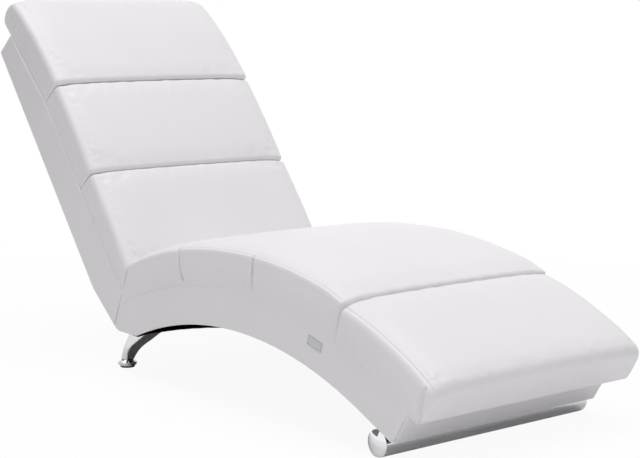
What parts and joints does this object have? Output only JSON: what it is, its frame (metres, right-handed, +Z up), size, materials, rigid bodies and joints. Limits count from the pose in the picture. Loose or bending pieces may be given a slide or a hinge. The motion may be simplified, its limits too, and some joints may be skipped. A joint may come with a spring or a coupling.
{
  "type": "reclining lounger",
  "caption": "Armless upholstered chaise lounger with a fixed reclined back, an arched seat, chrome rear legs and a round chrome front foot tube.",
  "frame": {"origin": "on the floor under the middle of the outline", "axes": "+X towards the foot end, +Y to the sitter's left, +Z up"},
  "size_m": [1.6452, 0.582, 0.8828],
  "materials": {
    "pad_leathercloth": "satin",
    "cover_leathercloth": "satin",
    "black_lining": "matte",
    "plywood": "matte",
    "softwood": "matte",
    "chrome": "polished",
    "black_plastic": "matte",
    "zinc_steel": "satin"
  },
  "bodies": {
    "lounger": {"back_deck": "plywood", "back_foot_rail": "softwood", "back_frame_screws": "zinc_steel", "back_head_rail": "softwood", "back_lower_rail": "softwood", "back_rear_cover": "cover_leathercloth", "back_side_cover_left": "cover_leathercloth", "back_side_cover_right": "cover_leathercloth", "back_side_panel_left": "plywood", "back_side_panel_right": "plywood", "back_top_cover": "cover_leathercloth", "back_top_rail": "softwood", "foot_pad": "pad_leathercloth", "front_tube": "chrome", "front_tube_rail": "softwood", "head_pad": "pad_leathercloth", "leg_inserts": "zinc_steel", "leg_pins": "zinc_steel", "leg_studs": "zinc_steel", "lower_back_pad": "pad_leathercloth", "module_bolts": "zinc_steel", "module_tee_nuts": "zinc_steel", "rear_leg_left": "chrome", "rear_leg_right": "chrome", "seat_cross_rail_front": "softwood", "seat_cross_rail_rear": "softwood", "seat_deck": "plywood", "seat_frame_screws": "zinc_steel", "seat_front_cover": "cover_leathercloth", "seat_front_rail": "softwood", "seat_pad": "pad_leathercloth", "seat_rear_rail": "softwood", "seat_side_cover_left": "cover_leathercloth", "seat_side_cover_right": "cover_leathercloth", "seat_side_panel_left": "plywood", "seat_side_panel_right": "plywood", "side_tab": "cover_leathercloth", "tube_bolts": "zinc_steel", "tube_cap_left": "chrome", "tube_cap_right": "chrome", "tube_nuts": "zinc_steel", "tube_saddle_left": "black_plastic", "tube_saddle_right": "black_plastic", "underside_lining": "black_lining", "upper_back_pad": "pad_leathercloth"},
    "glide_right": {"glide_pad_right": "black_plastic", "rear_glide_right": "chrome"},
    "glide_left": {"glide_pad_left": "black_plastic", "rear_glide_left": "chrome"}
  },
  "joints": [
    {"name": "glide_right_level", "type": "slide", "parent": "lounger", "child": "glide_right", "axis": [0, 0, -1], "range_m": [0, 0.008]},
    {"name": "glide_left_level", "type": "slide", "parent": "lounger", "child": "glide_left", "axis": [0, 0, -1], "range_m": [0, 0.008]}
  ]
}
